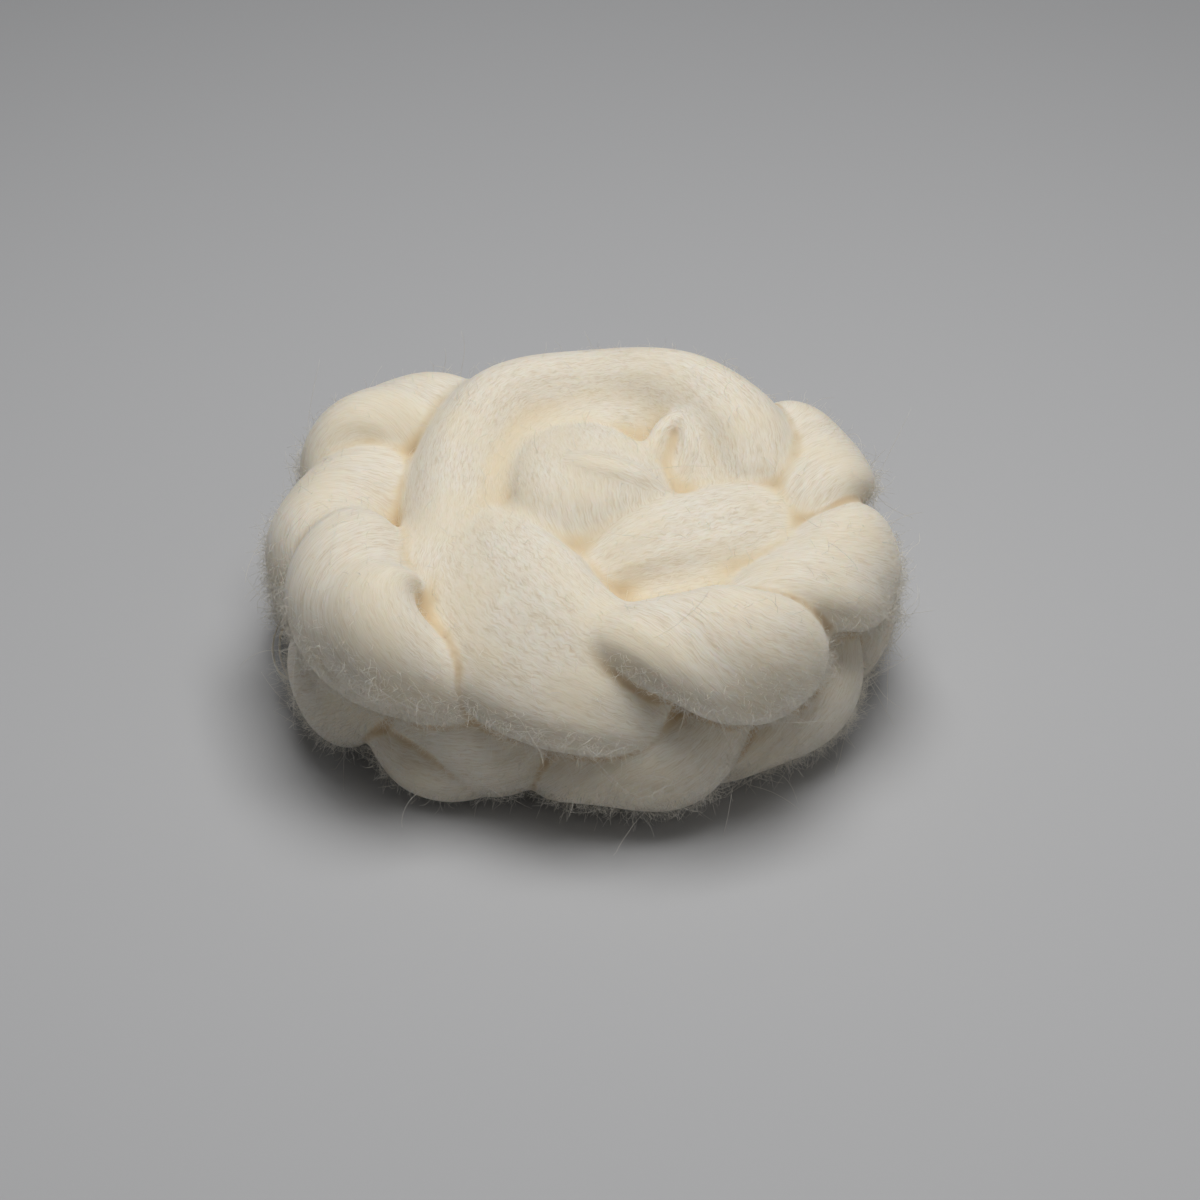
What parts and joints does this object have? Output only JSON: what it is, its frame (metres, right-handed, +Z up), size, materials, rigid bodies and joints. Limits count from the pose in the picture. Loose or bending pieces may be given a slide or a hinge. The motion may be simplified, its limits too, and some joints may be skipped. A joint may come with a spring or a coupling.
{
  "type": "braided wool roving coil",
  "caption": "Braid of cream combed wool fibre, wound on its edge into a low round coil with its loose end laid over the top in arches and a small rolled bun.",
  "frame": {"origin": "middle of the flat underside", "axes": "+Z up; -Y the front, where the braid's face shows two rows of folds; +X to the right seen from the front"},
  "size_m": [0.2232, 0.1968, 0.0978],
  "materials": {
    "wool": "undyed cream wool, combed fibres lying along the strands, soft matt with a slight sheen and loose hairs"
  },
  "bodies": {
    "root": {"roving": "wool"}
  },
  "joints": []
}
